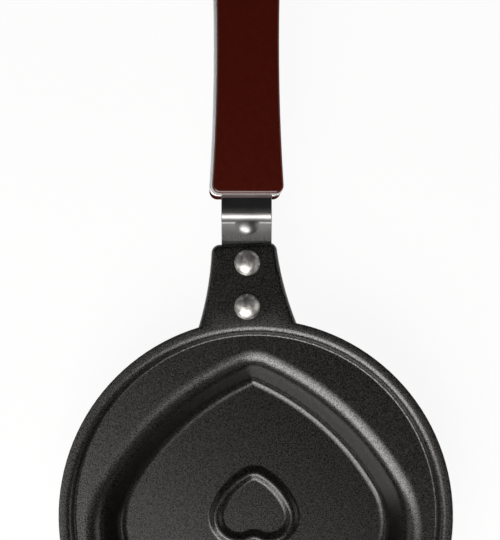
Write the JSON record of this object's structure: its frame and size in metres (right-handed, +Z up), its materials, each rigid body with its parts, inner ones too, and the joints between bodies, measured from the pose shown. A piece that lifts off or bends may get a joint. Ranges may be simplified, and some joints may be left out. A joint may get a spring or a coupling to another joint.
{
  "type": "frying pan",
  "caption": "Small round frying pan with a flat rim, a heart-shaped well with an embossed heart, and a riveted steel strap handle between two scales.",
  "frame": {"origin": "middle of the round rim, on the surface that the pan's flat bottom stands on", "axes": "+Y from the pan along the handle, +Z up out of the well, +X to the right as seen from above with the handle pointing away"},
  "size_m": [0.12, 0.2659, 0.0252],
  "materials": {
    "coating": "speckled black non-stick coating, satin",
    "steel": "polished steel strap and screws",
    "rivet": "polished domed rivets",
    "scale": "dark red-brown phenolic, satin"
  },
  "bodies": {
    "root": {"pan_body": "coating", "handle_strap": "steel", "upper_scale": "scale", "lower_scale": "scale", "front_tab_rivet": "rivet", "rear_tab_rivet": "rivet", "front_handle_screw": "steel", "middle_handle_screw": "steel", "rear_handle_screw": "steel"}
  },
  "joints": []
}
